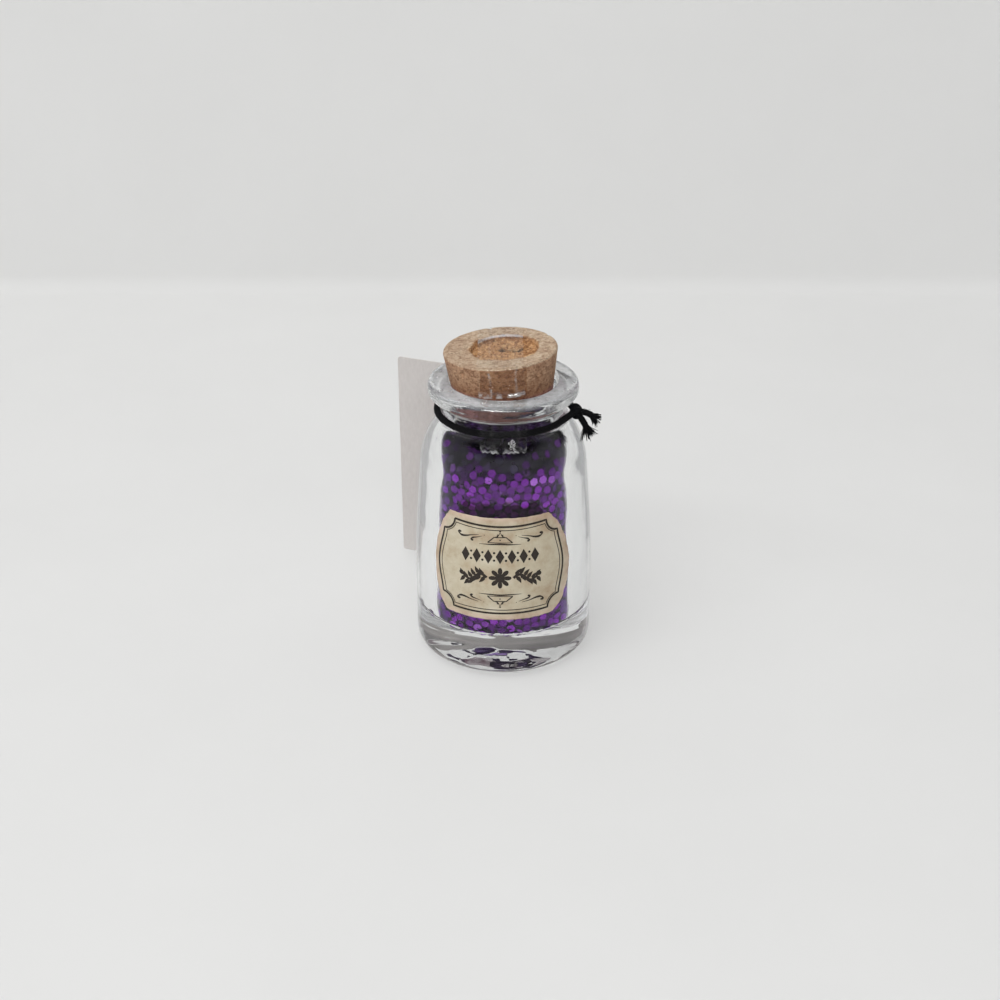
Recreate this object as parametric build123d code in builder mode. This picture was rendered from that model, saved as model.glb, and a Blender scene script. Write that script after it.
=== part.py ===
from build123d import *
import math
import os

# A small glass bottle with a cork, filled with coarse glitter. A paper label is glued to the
# front, a thin cord is tied round the neck and carries a paper tag, and a strip of clear tape
# seals the cork. Millimetres. +Z is up, -Y is the label's side. The origin is the middle of
# the foot.

# Glass bottle, outside, from the foot up
bottle_height = 61.8
body_radius = 19.15
body_taper = 1.75
neck_wall = 1.65
rim_overhang = 2.85
taper_length = 23.8
shoulder_rise = 7.4
neck_length = 2.2
flare_height = 1.7
rim_thickness = 2.7
heel_fillet = 3.5
taper_fillet = 200.0
shoulder_fillet = 18.0
neck_fillet = 3.0
flare_fillet = 1.2
rim_fillet = 1.25

# Glass bottle, inside
bore_radius = 11.25
bore_length = 9.8
throat_drop = 4.2
body_wall = 4.6
shoulder_wall = 3.75
floor_thickness = 8.8
mouth_fillet = 0.6
throat_fillet = 3.0
cavity_fillet = 14.0
floor_fillet = 1.2

# Cork. Its sides taper, and it leans a little to the left in the mouth.
cork_rise = 6.9
plug_depth = 3.9
cork_clearance = 0.4
cork_lean_share = 0.6
cork_taper = 8.8
cork_lean = 3.4
cork_edge_fillet = 0.35
recess_radius = 7.2
recess_depth = 1.4
recess_shift = 0.9

# Glitter: one solid for the heap, and the loose flakes that lie on top of it
glitter_gap = 0.15
glitter_headspace = 11.8
flake_width = 1.6
flake_thickness = 0.1
flake_pitch = 2.35
flake_margin = 1.6

# Front label. Lengths across it are measured round the glass.
film_gap = 0.02
label_thickness = 0.12
label_headroom = 9.2
label_width = 31.7
label_base_height = 15.0
label_shoulder_width = 28.4
label_edge_width = 22.8
label_corner_drop = 2.4
label_bow = 0.4
label_shift = -0.6

# Neck cord with its knot and two frayed tails
cord_radius = 0.72
cord_clearance = 0.1
knot_radius = 1.8
knot_length = 3.5
knot_fillet = 1.3
knot_stand = 1.35
knot_azimuth = -7.5
knot_entry_share = 0.1
bend_share = 0.45
straight_share = 0.35

# Hanging tag, upright behind the bottle and turned about +Z
tag_width = 32.0
tag_height = 49.6
tag_thickness = 0.35
tag_gap = 0.3
tag_yaw = 21.0
tag_offset = 17.1
tag_base_height = 4.8
tag_corner_fillet = 0.6
tag_hole_clearance = 0.3
tag_hole_inset = 3.0

# Clear tape, slit round the mouth so that the cork can be drawn
tape_width = 9.4
tape_thickness = 0.1
tape_slit = 1.0
tape_stand = 0.12
tape_skirt = 3.0
tape_bend = 0.9
tooth_count = 9
tooth_depth = 0.6

# Radii and heights that follow from the sizes above
shoulder_radius = body_radius - body_taper
neck_radius = bore_radius + neck_wall
rim_radius = neck_radius + rim_overhang
cavity_bottom_radius = body_radius - body_wall
cavity_top_radius = shoulder_radius - shoulder_wall
rim_bottom = bottle_height - rim_thickness
neck_top = rim_bottom - flare_height
neck_bottom = neck_top - neck_length
shoulder_height = neck_bottom - shoulder_rise
taper_start = shoulder_height - taper_length
throat_top = bottle_height - bore_length
throat_bottom = throat_top - throat_drop
fill_height = bottle_height - glitter_headspace
tape_end_height = neck_bottom - tape_skirt
tape_cut_from = tape_end_height - 2 * tooth_depth
label_height = shoulder_height - label_headroom - label_base_height

# Slope of the shoulder from upright, and the ring that the cord makes on it
shoulder_slope = math.atan2(shoulder_radius - neck_radius, shoulder_rise)
ring_radius = neck_radius + (cord_radius + cord_clearance) / math.cos(shoulder_slope)
knot_reach = ring_radius + knot_stand

outside_points = [
    (0, 0),
    (body_radius, 0),
    (body_radius, taper_start),
    (shoulder_radius, shoulder_height),
    (neck_radius, neck_bottom),
    (neck_radius, neck_top),
    (rim_radius, rim_bottom),
    (rim_radius, bottle_height),
]
outside_fillets = [
    heel_fillet,
    taper_fillet,
    shoulder_fillet,
    neck_fillet,
    flare_fillet,
    rim_fillet,
]
inside_points = [
    (bore_radius, bottle_height),
    (bore_radius, throat_top),
    (cavity_top_radius, throat_bottom),
    (cavity_bottom_radius, floor_thickness),
    (0, floor_thickness),
]
inside_fillets = [mouth_fillet, throat_fillet, cavity_fillet, floor_fillet]


def outside_skin(gap, thickness):
    """The section of a film that lies on the outside of the glass."""
    for reach, mode in ((gap + thickness, Mode.ADD), (gap, Mode.SUBTRACT)):
        with BuildSketch(Plane.XZ, mode=Mode.PRIVATE) as layer:
            with BuildLine():
                FilletPolyline(
                    *outside_points,
                    (0, bottle_height),
                    radius=outside_fillets + [rim_fillet],
                )
                Line((0, bottle_height), (0, 0))
            make_face()
            offset(amount=reach)
        add(layer.sketch_local, mode=mode)


# Glass bottle
with BuildPart() as glass_bottle:
    with BuildSketch(Plane.XZ):
        with BuildLine():
            FilletPolyline(
                *outside_points,
                *inside_points,
                radius=outside_fillets + [rim_fillet] + inside_fillets,
            )
            Line((0, floor_thickness), (0, 0))
        make_face()
    revolve(axis=Axis.Z)

# Cork: its axis leaves the mouth's middle with a small lean
lean = math.radians(cork_lean)
cork_shift = cork_lean_share * cork_clearance
cork_plane = Plane(
    origin=(-cork_shift, 0, bottle_height),
    x_dir=(math.cos(lean), 0, math.sin(lean)),
    z_dir=(-math.sin(lean), 0, math.cos(lean)),
)
cork_section = Plane(
    origin=cork_plane.origin, x_dir=cork_plane.x_dir, z_dir=-cork_plane.y_dir
)
cork_axis = Axis(cork_plane.origin, cork_plane.z_dir)
cork_slope = math.tan(math.radians(cork_taper))
cork_mouth_radius = bore_radius - cork_clearance


def cork_radius_at(height):
    """Radius of the cork at a height over the rim."""
    return cork_mouth_radius + height * cork_slope


with BuildPart() as cork_stopper:
    with BuildSketch(cork_section):
        with BuildLine():
            FilletPolyline(
                (0, -plug_depth),
                (cork_radius_at(-plug_depth), -plug_depth),
                (cork_radius_at(cork_rise), cork_rise),
                (0, cork_rise),
                radius=cork_edge_fillet,
            )
            Line((0, cork_rise), (0, -plug_depth))
        make_face()
    revolve(axis=cork_axis)
    with BuildSketch(cork_plane.offset(cork_rise)):
        with Locations((recess_shift, 0)):
            Circle(recess_radius)
    extrude(amount=-recess_depth, mode=Mode.SUBTRACT)

# Glitter heap, with an air film between it and the glass
with BuildPart() as glitter_fill:
    with BuildSketch(Plane.XZ):
        with BuildLine():
            FilletPolyline(
                (0, floor_thickness + glitter_gap),
                (cavity_bottom_radius - glitter_gap, floor_thickness + glitter_gap),
                (cavity_top_radius - glitter_gap, throat_bottom),
                (bore_radius - glitter_gap, throat_top),
                (0, throat_top),
                radius=[floor_fillet, cavity_fillet, 0],
            )
            Line((0, throat_top), (0, floor_thickness + glitter_gap))
        make_face()
        with Locations((0, fill_height)):
            Rectangle(
                body_radius,
                glitter_headspace,
                align=(Align.MIN, Align.MIN),
                mode=Mode.SUBTRACT,
            )
    revolve(axis=Axis.Z)

# Loose flakes on top of the heap, in as many rings as its top has room for, and six more in
# each ring than in the one inside it
top_share = (throat_top - fill_height) / throat_drop
heap_top_radius = bore_radius + (cavity_top_radius - bore_radius) * top_share
flake_rings = 1 + int((heap_top_radius - flake_margin) / flake_pitch)
with BuildPart() as glitter_flakes:
    with BuildSketch(Plane.XY.offset(fill_height)):
        RegularPolygon(flake_width / 2, 6, major_radius=False)
        for ring in range(1, flake_rings):
            with PolarLocations(ring * flake_pitch, 6 * ring):
                RegularPolygon(flake_width / 2, 6, major_radius=False)
    extrude(amount=flake_thickness)


def round_glass(across):
    """X of a point that lies so far round the glass from the front."""
    return body_radius * math.sin((across + label_shift) / body_radius)


# Front label: the film's section turned about the bottle, cut to the label's outline
label_top = label_base_height + label_height
label_middle = label_base_height + label_height / 2
with BuildPart() as front_label:
    with BuildSketch(Plane.XZ):
        outside_skin(film_gap, label_thickness)
        Rectangle(
            2 * body_radius,
            shoulder_height,
            align=(Align.MIN, Align.MIN),
            mode=Mode.INTERSECT,
        )
    revolve(axis=Axis.Z)
    with BuildSketch(Plane.XZ) as label_outline:
        with BuildLine():
            for side in (-1, 1):
                top_corner = (round_glass(side * label_edge_width / 2), label_top)
                top_side = (
                    round_glass(side * label_shoulder_width / 2),
                    label_top - label_corner_drop,
                )
                base_side = (top_side[0], label_base_height + label_corner_drop)
                base_corner = (top_corner[0], label_base_height)
                Line(top_corner, top_side)
                bulge = (round_glass(side * label_width / 2), label_middle)
                ThreePointArc(top_side, bulge, base_side)
                Line(base_side, base_corner)
            left_x = round_glass(-label_edge_width / 2)
            right_x = round_glass(label_edge_width / 2)
            Line((left_x, label_top), (right_x, label_top))
            ThreePointArc(
                (left_x, label_base_height),
                (round_glass(0), label_base_height - label_bow),
                (right_x, label_base_height),
            )
        make_face()
    extrude(amount=2 * body_radius, mode=Mode.INTERSECT)

# Hanging tag, and the frame that the cord's free strands are placed in
yaw = math.radians(tag_yaw)
tag_right = Vector(math.cos(yaw), -math.sin(yaw), 0)
tag_back = Vector(math.sin(yaw), math.cos(yaw), 0)
tag_up = Vector(0, 0, 1)
tag_distance = body_radius + tag_gap + tag_thickness / 2
tag_middle = (
    tag_back * tag_distance
    - tag_right * tag_offset
    + tag_up * (tag_base_height + tag_height / 2)
)
tag_hole_radius = cord_radius + tag_hole_clearance
tag_hole = tag_middle + tag_up * (tag_height / 2 - tag_hole_inset)
with BuildPart() as hang_tag:
    with BuildSketch(Plane(origin=tag_middle, x_dir=tag_right, z_dir=-tag_back)):
        RectangleRounded(tag_width, tag_height, tag_corner_fillet)
        with Locations((0, tag_height / 2 - tag_hole_inset)):
            Circle(tag_hole_radius, mode=Mode.SUBTRACT)
    extrude(amount=tag_thickness / 2, both=True)


def near_hole(right, back, up):
    """A point of the cord's route, given in the tag's frame from its hole."""
    return tag_hole + tag_right * right + tag_back * back + tag_up * up


def on_ring(azimuth):
    """A point of the cord's ring round the neck."""
    return Vector(
        ring_radius * math.cos(azimuth), ring_radius * math.sin(azimuth), neck_bottom
    )


def leaves_ring(point, turn):
    """Azimuth where a straight strand to a point leaves the ring."""
    reach = math.hypot(point.X, point.Y)
    return math.atan2(point.Y, point.X) + turn * math.acos(ring_radius / reach)


def bend_radii(points):
    """The largest radius that fits each inner corner of a route."""
    radii = []
    for before, corner, after in zip(points, points[1:], points[2:]):
        run_in = corner - before
        run_out = after - corner
        half_turn = math.radians(run_in.get_angle(run_out)) / 2
        shorter = min(run_in.length, run_out.length)
        radii.append(bend_share * shorter / math.tan(half_turn))
    return radii


# Cord: from the knot round the front of the neck to the left, back through the tag's hole,
# over the tag's upper edge, and round the right of the neck to the knot again
knot = Vector(
    knot_reach * math.cos(math.radians(knot_azimuth)),
    knot_reach * math.sin(math.radians(knot_azimuth)),
    neck_bottom,
)
strand_points = [
    near_hole(0, -2.6, 0),
    near_hole(0, 3.2, 0),
    near_hole(0.9, 3.4, 4.2),
    near_hole(2.4, -0.6, 7.2),
]
left_leaves = leaves_ring(strand_points[0], 1)
right_leaves = leaves_ring(strand_points[-1], -1)
for leaves, end in ((left_leaves, 0), (right_leaves, -1)):
    flat_end = Vector(strand_points[end].X, strand_points[end].Y, neck_bottom)
    bend = on_ring(leaves) + (flat_end - on_ring(leaves)) * straight_share
    strand_points.insert(0 if end == 0 else len(strand_points), bend)
strand_points = [on_ring(left_leaves), *strand_points, on_ring(right_leaves)]
strand_radii = bend_radii(strand_points)
front_leaves = leaves_ring(knot, -1)
back_leaves = leaves_ring(knot, 1)
front_middle = (front_leaves + left_leaves - 2 * math.pi) / 2
back_middle = (right_leaves + back_leaves) / 2

tail_routes = [
    [
        knot,
        knot + Vector(1.9, -0.5, 0.1),
        knot + Vector(3.6, -0.9, -0.7),
        knot + Vector(5.1, -1.1, -2.0),
    ],
    [
        knot,
        knot + Vector(1.3, -0.6, -1.5),
        knot + Vector(2.3, -0.9, -3.4),
        knot + Vector(3.1, -1.0, -5.6),
    ],
]

with BuildPart() as neck_cord:
    with BuildSketch(Plane(origin=knot, z_dir=tail_routes[0][1] - knot)):
        Circle(knot_radius)
    extrude(amount=knot_length / 2, both=True)
    fillet(neck_cord.edges(), knot_fillet)
    knot_volume = neck_cord.part.volume
    with BuildLine() as loop_route:
        Line(knot, on_ring(front_leaves))
        ThreePointArc(on_ring(front_leaves), on_ring(front_middle), on_ring(left_leaves))
        FilletPolyline(*strand_points, radius=strand_radii)
        ThreePointArc(on_ring(right_leaves), on_ring(back_middle), on_ring(back_leaves))
        Line(on_ring(back_leaves), knot + (on_ring(back_leaves) - knot) * knot_entry_share)
    with BuildSketch(Plane(origin=knot, z_dir=on_ring(front_leaves) - knot)):
        Circle(cord_radius)
    sweep(path=loop_route.wires()[0])
    loop_volume = neck_cord.part.volume - knot_volume
    for route in tail_routes:
        with BuildLine() as tail_route:
            FilletPolyline(*route, radius=bend_radii(route))
        with BuildSketch(Plane(origin=knot, z_dir=route[1] - knot)):
            Circle(cord_radius)
        sweep(path=tail_route.wires()[0])

# Clear tape on the cork: over its top and down its front and back
tape_middle = film_gap + tape_thickness / 2
with BuildPart() as seal_tape_top:
    with BuildSketch(cork_section):
        with BuildLine():
            FilletPolyline(
                (0, cork_rise + tape_middle),
                (cork_radius_at(cork_rise) + tape_middle, cork_rise + tape_middle),
                (cork_radius_at(tape_slit) + tape_middle, tape_slit),
                radius=cork_edge_fillet + tape_middle,
            )
        trace(line_width=tape_thickness)
    revolve(axis=cork_axis)
    with BuildSketch(cork_plane):
        Rectangle(tape_width, 2 * rim_radius)
    extrude(amount=2 * cork_rise, mode=Mode.INTERSECT)


def tape_end(skirt_height):
    """The tape's width, down to its serrated end, as an outline seen from the front."""
    pitch = tape_width / tooth_count
    tips = [(-tape_width / 2, skirt_height)]
    for tooth in range(tooth_count):
        left = tooth * pitch - tape_width / 2
        tips.append((left + pitch / 2, skirt_height - tooth_depth))
        tips.append((left + pitch, skirt_height))
    high = bottle_height + cork_rise
    return [(-tape_width / 2, high), *tips, (tape_width / 2, high)]


# Clear tape at the front: over the rim, out over the cord and down to the shoulder. Its
# slant is that of a straight line from the cord that just clears the rim's lower edge.
cord_outside = ring_radius + cord_radius + tape_stand
tape_end_radius = neck_radius + (neck_bottom - tape_cut_from) * math.tan(shoulder_slope)
over_cord = neck_bottom + tape_bend
rim_edge_rise = rim_bottom + rim_fillet / 2 - over_cord
rim_edge_run = rim_radius - rim_fillet - cord_outside
tape_slant = math.atan2(rim_edge_run, rim_edge_rise) + math.asin(
    (rim_fillet + tape_stand) / math.hypot(rim_edge_run, rim_edge_rise)
)
fold_height = bottle_height + tape_middle
fold_radius = cord_outside + (fold_height - over_cord) * math.tan(tape_slant)
with BuildPart() as seal_tape_front:
    with BuildSketch(Plane.XZ):
        with BuildLine():
            FilletPolyline(
                (bore_radius + tape_slit, fold_height),
                (fold_radius, fold_height),
                (cord_outside, over_cord),
                (cord_outside, neck_bottom - tape_bend),
                (tape_end_radius + tape_stand, tape_cut_from),
                radius=[rim_fillet + tape_stand, tape_bend, tape_bend],
            )
        trace(line_width=tape_thickness)
    revolve(axis=Axis.Z)
    with BuildSketch(Plane.XZ):
        with BuildLine():
            Polyline(*tape_end(tape_end_height), close=True)
        make_face()
    extrude(amount=2 * rim_radius, mode=Mode.INTERSECT)

# Clear tape at the back, pressed on to the glass under the rim
with BuildPart() as seal_tape_back:
    with BuildSketch(Plane.XZ):
        outside_skin(film_gap, tape_thickness)
        with Locations((bore_radius + tape_slit, tape_cut_from)):
            Rectangle(
                body_radius,
                bottle_height,
                align=(Align.MIN, Align.MIN),
                mode=Mode.INTERSECT,
            )
    revolve(axis=Axis.Z)
    with BuildSketch(Plane.XZ):
        with BuildLine():
            Polyline(*tape_end(tape_end_height), close=True)
        make_face()
    extrude(amount=-2 * rim_radius, mode=Mode.INTERSECT)

nodes = {
    "glass_bottle": glass_bottle,
    "cork_stopper": cork_stopper,
    "glitter_fill": glitter_fill,
    "glitter_flakes": glitter_flakes,
    "front_label": front_label,
    "neck_cord": neck_cord,
    "hang_tag": hang_tag,
    "seal_tape_top": seal_tape_top,
    "seal_tape_front": seal_tape_front,
    "seal_tape_back": seal_tape_back,
}
os.makedirs("parts", exist_ok=True)
for name, node in nodes.items():
    node.part.label = name
    export_step(node.part, f"parts/{name}.step")

loop_length = loop_route.wires()[0].length
print("cord loop", loop_length, "radii", strand_radii)
print("loop volume outside the knot", loop_volume)
print("section times length", math.pi * cord_radius**2 * (loop_length - knot_length))
print("tag hole", tag_hole, "tag normal", tag_back)
print("cork axis", cork_axis)
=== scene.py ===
import random
from math import acos, asin, atan, atan2, ceil, cos, degrees, hypot, pi, radians, sin, sqrt
from math import tan, tau

import bmesh
import bpy
from mathutils import Matrix, Vector, noise


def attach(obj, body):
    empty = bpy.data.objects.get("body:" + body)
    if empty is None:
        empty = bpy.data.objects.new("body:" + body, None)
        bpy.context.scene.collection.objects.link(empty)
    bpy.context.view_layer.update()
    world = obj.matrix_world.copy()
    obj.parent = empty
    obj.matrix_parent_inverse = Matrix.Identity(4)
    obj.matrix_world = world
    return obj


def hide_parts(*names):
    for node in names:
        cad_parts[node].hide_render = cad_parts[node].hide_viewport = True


# A small corked glass bottle of coarse glitter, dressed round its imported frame. Lengths are in
# millimetres, as in the part, and MM turns them into Blender's metres. +Z is up and -Y is the
# label's side.

MM = 0.001

# Camera, fitted to the photograph's 1000 x 1000 frame
camera_distance = 345.0
camera_pitch = radians(27.27)
camera_target_height = 33.35
camera_lens = 57.6
camera_sensor = 36.0
camera_shift = -0.0034

# Glass, outside
bottle_height = 61.8
body_radius = 19.15
shoulder_radius = 17.4
neck_radius = 12.9
rim_radius = 15.75
taper_start = 24.0
shoulder_height = 47.8
neck_bottom = 55.2
neck_top = 57.4
neck_rings_height = 57.6
rim_bottom = 59.1
base_rise = 1.3
wave_height = 0.2
wave_scale = 0.3
bearing_radius = 13.6
outside_points = [
    (body_radius, 0),
    (body_radius, taper_start),
    (shoulder_radius, shoulder_height),
    (neck_radius, neck_bottom),
    (neck_radius, neck_top),
    (rim_radius, rim_bottom),
    (rim_radius, bottle_height),
]
outside_fillets = [3.5, 200.0, 18.0, 3.0, 1.2, 1.25, 1.25]

# Glass, inside
bore_radius = 11.25
throat_top = 52.0
throat_bottom = 47.8
cavity_top_radius = 13.65
cavity_bottom_radius = 14.55
floor_height = 8.8
inside_points = [
    (bore_radius, bottle_height),
    (bore_radius, throat_top),
    (cavity_top_radius, throat_bottom),
    (cavity_bottom_radius, floor_height),
]
inside_fillets = [0.6, 3.0, 14.0, 1.2]
glass_ior = 1.5
# A light path in the glass ends after so many mirrorings, or so many turns in all
mirror_limit = 2.5
turn_limit = 6.5
glass_sides = 192
glass_step = 1.5
lip_depth = 1.1

# Glitter
fill_height = 50.0
flake_width = 1.6
flake_reach = flake_width / sqrt(3)
flake_thickness = 0.05
air_film = 0.05
settled_height = 45.4
flake_lean = tan(radians(31))
# Painted shade: the share of leaning flakes drawn in dark colours for facing the dark, and how
# dark the heap's top and the sunk flakes are drawn.
painted_dusk_share = 0.82
top_painted_dusk = 0.8
sunk_painted_dusk = 0.96
wall_reach = 13.5
floor_flakes = 560
top_flakes = 420
corner_flakes = 260
sunk_flakes = 110
core_gap = 0.95
# Each layer as (spacing, depth behind the glass, spread of tilt)
flake_layers = [
    (1.42, 0.0, 0.11),
    (1.36, 0.2, 0.2),
    (1.3, 0.4, 0.4),
    (1.15, 0.65, 0.7),
    (1.2, 0.95, 0.9),
]

# Cork. Places on it are along its own leaning axis, from the glass's rim.
cork_rise = 6.9
plug_depth = 3.9
cork_radius = 10.85
cork_slope = tan(radians(8.8))
cork_top_radius = cork_radius + cork_rise * cork_slope
cork_lean = radians(3.4)
cork_origin = Vector((-0.24, 0, bottle_height))
cork_edge = 0.35
cork_sides = 256
recess_radius = 7.2
recess_depth = 1.4
recess_shift = 0.9
crack_depth = 0.9
crack_line = [(-0.1, 2.2), (0.9, 1.3), (2.2, 1.5), (3.4, 0.7), (4.2, 1.6)]

# Label. Places on it are (round the glass from the front, height).
film_gap = 0.02
paper_top = 0.125
# The paper's two sides as (height, left, right)
paper_sides = [
    (15.3, -12.9, 10.9),
    (17.7, -14.5, 13.4),
    (22.0, -15.7, 15.0),
    (27.0, -16.2, 15.6),
    (32.0, -15.7, 14.6),
    (36.1, -14.2, 12.6),
    (38.6, -12.4, 10.3),
]
paper_rows = 96
paper_columns = 128
label_bow = 0.4
label_axis = -0.7
label_middle = 26.8
border_left, border_right = -13.75, 12.35
border_low, border_high = 16.75, 37.1
border_notch = 2.75
border_bulge = 1.25
ink_top = 0.139
ink_bottom = 0.12
ink_weight = 1.45
ink_step = 0.35

# Cord
cord_radius = 0.72
ring_radius = 13.86
ply_count = 4
ply_pitch = 3.8
knot_azimuth = radians(-7.5)
knot_reach = ring_radius + 1.35
knot_size = 0.37
knot_depth = 0.62
knot_thickness = 0.62
fray_count = 90
fray_spread = 0.6
tail_reach = 20.4
# Each tail as its points from the knot, and the share of it that is whole
tails = [
    ([(1.9, -0.5, 0.1), (3.6, -0.9, -0.7), (5.1, -1.1, -2.0)], 0.6),
    ([(1.3, -0.6, -1.5), (2.3, -0.9, -3.4), (3.1, -1.0, -5.6)], 0.56),
]
tag_yaw = radians(21.0)
tag_hole = Vector((-8.931, 24.450, 51.4))
# The strand through the tag's hole, as (across the card, behind it, up) from the hole
tag_strand = [(0, -2.6, 0), (0, 3.2, 0), (0.9, 3.4, 4.2), (2.4, -0.6, 7.2)]

# Tape
tape_width = 9.4
tape_thickness = 0.06
tape_gap = 0.04
tape_cells = 64
tape_low = 0.5
tape_flare = 0.75
tape_sag = 0.5
tape_start_radius = bore_radius + 1.0
tape_fold_radius = 16.4
tape_end_height = 51.6
end_lift_height = 53.2
tooth_count = 9
tooth_depth = 0.35
# The tape's two long creases as (place across it, strength)
creases = [(-2.2, 0.7), (3.0, 0.5)]


# Outlines and meshes


def share_of(value):
    """A value kept from 0 to 1."""
    return min(1.0, max(0.0, value))


def polar(radius, azimuth, height):
    return Vector((radius * cos(azimuth), radius * sin(azimuth), height))


def heading(points, i):
    """The direction of a line at one of its points."""
    return (points[min(i + 1, len(points) - 1)] - points[max(i - 1, 0)]).normalized()


def pairs(items):
    """Each item with the next one."""
    return zip(items, items[1:])


def left_of(direction):
    return Vector((-direction.y, direction.x))


def across(rng, axis):
    """A random unit vector square to an axis."""
    out = axis.orthogonal().normalized()
    out.rotate(Matrix.Rotation(rng.uniform(0, tau), 3, axis))
    return out


def rounded(points, radii, step=5.0):
    """An outline through points, with its inner corners rounded, as (r, z) vectors."""
    points = [Vector(p) for p in points]
    out = [points[0]]
    for before, corner, after, radius in zip(points, points[1:], points[2:], radii):
        to_before = (before - corner).normalized()
        to_after = (after - corner).normalized()
        half = to_before.angle(to_after) / 2
        reach = radius / tan(half)
        centre = corner + (to_before + to_after).normalized() * (radius / sin(half))
        start = corner + to_before * reach - centre
        end = corner + to_after * reach - centre
        turn = atan2(start.x * end.y - start.y * end.x, start.dot(end))
        count = max(3, int(abs(degrees(turn)) / step))
        for i in range(count + 1):
            a = turn * i / count
            c, s = cos(a), sin(a)
            out.append(centre + Vector((start.x * c - start.y * s, start.x * s + start.y * c)))
    out.append(points[-1])
    return out


def finer(outline, longest):
    """The outline with its long straight stretches divided."""
    out = [outline[0]]
    for a, b in pairs(outline):
        count = max(1, ceil((b - a).length / longest))
        out += [a.lerp(b, (i + 1) / count) for i in range(count)]
    return out


def radius_at(outline, z):
    """The largest radius of an outline at a height."""
    best = 0.0
    for a, b in pairs(outline):
        low, high = min(a.y, b.y), max(a.y, b.y)
        if low <= z <= high and high > low:
            best = max(best, a.x + (b.x - a.x) * (z - a.y) / (b.y - a.y))
    return best


def smooth_line(points, steps):
    """A smooth line through points, with steps stretches between each two."""
    points = [Vector(p) for p in points]
    ends = [2 * points[0] - points[1], *points, 2 * points[-1] - points[-2]]
    out = [points[0]]
    for p0, p1, p2, p3 in zip(ends, ends[1:], ends[2:], ends[3:]):
        for i in range(1, steps + 1):
            t = i / steps
            bend = 2 * p0 - 5 * p1 + 4 * p2 - p3
            turn = 3 * p1 - p0 - 3 * p2 + p3
            out.append((2 * p1 + (p2 - p0) * t + bend * t * t + turn * t ** 3) / 2)
    return out


def frames_along(path):
    """Each point of a path with two directions across it, which turn as little as they can."""
    side = heading(path, 0).orthogonal().normalized()
    for i, p in enumerate(path):
        ahead = heading(path, i)
        side = (side - ahead * side.dot(ahead)).normalized()
        yield p, side, ahead.cross(side)


def add_object(name, data):
    item = bpy.data.objects.new(name, data)
    bpy.context.scene.collection.objects.link(item)
    return item


class Shape:
    """Vertices in millimetres and faces, gathered for one mesh."""

    def __init__(self):
        self.verts = []
        self.faces = []

    def ring(self, points):
        first = len(self.verts)
        self.verts += points
        return list(range(first, first + len(points)))

    def join(self, ring_a, ring_b, closed=True):
        count = len(ring_a)
        for i in range(count if closed else count - 1):
            j = (i + 1) % count
            self.faces.append((ring_a[i], ring_a[j], ring_b[j], ring_b[i]))

    def fan(self, ring, tip, flip=False):
        middle = len(self.verts)
        self.verts.append(tip)
        for i, a in enumerate(ring):
            b = ring[(i + 1) % len(ring)]
            self.faces.append((middle, b, a) if flip else (middle, a, b))

    def stack(self, rings, start, end):
        """Rings joined one to the next, closed at two tips."""
        for a, b in pairs(rings):
            self.join(a, b)
        self.fan(rings[0], start, flip=True)
        self.fan(rings[-1], end)

    def shell(self, outer, inner):
        """A closed thin solid between two grids of points, rows by columns."""
        tops = [self.ring(row) for row in outer]
        backs = [self.ring(row) for row in inner]
        for a, b in pairs(tops):
            self.join(a, b, closed=False)
        for a, b in pairs(backs):
            self.join(b, a, closed=False)
        edges = []
        for grid in (tops, backs):
            edge = grid[0][::-1] + [row[0] for row in grid[1:-1]] + grid[-1]
            edges.append(edge + [row[-1] for row in grid[-2:0:-1]])
        self.join(*edges)

    def tube(self, path, radii, sides):
        """A round tube along a path, closed at its ends. It may have a radius at each point."""
        turns = [tau * k / sides for k in range(sides)]
        rings = []
        for i, (p, side, up) in enumerate(frames_along(path)):
            radius = radii[i] if isinstance(radii, list) else radii
            rings.append(
                self.ring([p + (side * cos(a) + up * sin(a)) * radius for a in turns])
            )
        self.stack(rings, path[0], path[-1])

    def lathe(self, outline, sides):
        """A closed solid of revolution about Z. Its outline starts and ends on the axis."""
        turns = [(cos(a), sin(a)) for a in (tau * i / sides for i in range(sides))]
        rings = [
            self.ring([Vector((p.x * c, p.x * s, p.y)) for c, s in turns]) for p in outline[1:-1]
        ]
        self.stack(rings, Vector((0, 0, outline[0].y)), Vector((0, 0, outline[-1].y)))

    def make(self, name, material, body, slot, replaces=(), weights=None, smooth=True):
        """The gathered mesh as an object that rides on a body. Weights: values at vertices."""
        mesh = bpy.data.meshes.new(name)
        mesh.from_pydata([Vector(v) * MM for v in self.verts], [], self.faces)
        bm = bmesh.new()
        bm.from_mesh(mesh)
        bmesh.ops.recalc_face_normals(bm, faces=bm.faces)
        bm.to_mesh(mesh)
        bm.free()
        for polygon in mesh.polygons:
            polygon.use_smooth = smooth
        mesh.materials.append(material)
        piece = add_object(name, mesh)
        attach(piece, body)
        if replaces:
            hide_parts(*replaces)
        for weight, values in (weights or {}).items():
            mesh.attributes.new(weight, "FLOAT", "POINT").data.foreach_set("value", values)


# Materials


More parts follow.
